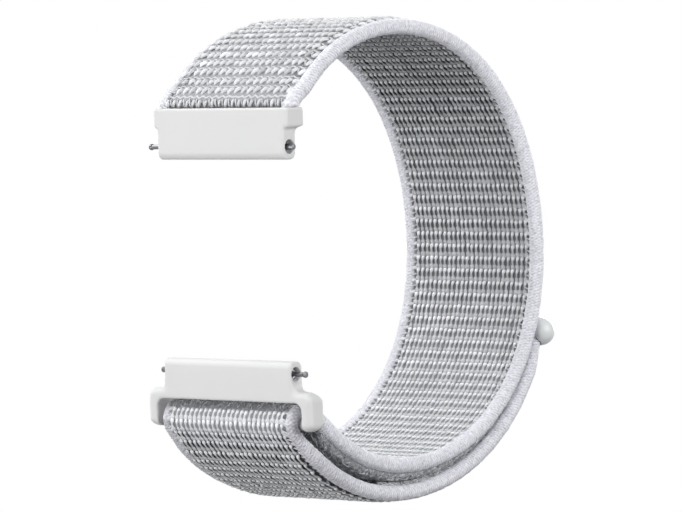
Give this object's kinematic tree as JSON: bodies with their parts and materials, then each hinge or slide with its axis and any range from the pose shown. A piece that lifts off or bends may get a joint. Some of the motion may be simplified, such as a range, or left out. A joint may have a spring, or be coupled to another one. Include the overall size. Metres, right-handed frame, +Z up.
{
  "type": "nylon watch strap",
  "caption": "Nylon hook-and-loop watch strap laid as a ring, with lug connectors on quick-release spring bars and a fold-back tail with an end tab.",
  "frame": {"origin": "midpoint between the axes of the two spring bars, where a watch's lugs hold the strap", "axes": "+X along the spring bars towards the near edge, +Y from the watch side into the ring, +Z up from the lower spring bar to the upper one"},
  "size_m": [0.0256, 0.0527, 0.0594],
  "materials": {
    "moulded_white_plastic": "satin, smooth moulded",
    "glossy_white_tab": "glossy",
    "spring_bar_steel": "turned, plain",
    "woven_nylon_pad": "double-layer loop weave",
    "rolled_nylon_edge": "ribbed rolled selvedge",
    "nylon_hook_tape": "moulded hook tape"
  },
  "bodies": {
    "strap": {"upper_connector": "moulded_white_plastic", "upper_bar_tube": "spring_bar_steel", "upper_fixed_tip": "spring_bar_steel", "upper_bar_spring": "spring_bar_steel", "main_band_weave": "woven_nylon_pad", "main_band_near_edge_roll": "rolled_nylon_edge", "main_band_far_edge_roll": "rolled_nylon_edge"},
    "upper_tip": {"upper_sliding_tip": "spring_bar_steel", "upper_release_lever": "spring_bar_steel"},
    "lower_connector_body": {"lower_connector": "moulded_white_plastic", "lower_bar_tube": "spring_bar_steel", "lower_fixed_tip": "spring_bar_steel", "lower_bar_spring": "spring_bar_steel"},
    "lower_tip": {"lower_sliding_tip": "spring_bar_steel", "lower_release_lever": "spring_bar_steel"},
    "tail_root": {"tail_root_weave": "woven_nylon_pad", "tail_root_near_edge_roll": "rolled_nylon_edge", "tail_root_far_edge_roll": "rolled_nylon_edge"},
    "tail_end": {"tail_end_weave": "woven_nylon_pad", "tail_end_near_edge_roll": "rolled_nylon_edge", "tail_end_far_edge_roll": "rolled_nylon_edge", "hook_patch": "nylon_hook_tape", "end_tab": "glossy_white_tab"}
  },
  "joints": [
    {"name": "upper_tip_slide", "type": "slide", "parent": "strap", "child": "upper_tip", "axis": [1, 0, 0], "range_m": [0, 0.0013], "stiffness_N_per_m": 400, "springref_m": -0.002, "deforming": ["upper_bar_spring"]},
    {"name": "lower_connector_tilt", "type": "hinge", "parent": "strap", "child": "lower_connector_body", "pos_m": [0, 0.0012, -0.0196], "axis": [1, 0, 0], "range_deg": [-10, 45]},
    {"name": "lower_tip_slide", "type": "slide", "parent": "lower_connector_body", "child": "lower_tip", "axis": [-1, 0, 0], "range_m": [0, 0.0013], "stiffness_N_per_m": 400, "springref_m": -0.002, "deforming": ["lower_bar_spring"]},
    {"name": "tail_peel", "type": "hinge", "parent": "strap", "child": "tail_root", "pos_m": [0, -0.00052, -0.02112], "axis": [1, 0, 0], "range_deg": [-70, 0]},
    {"name": "tail_end_peel", "type": "hinge", "parent": "tail_root", "child": "tail_end", "pos_m": [0, 0.02772, -0.03021], "axis": [1, 0, 0], "range_deg": [-60, 0]}
  ]
}
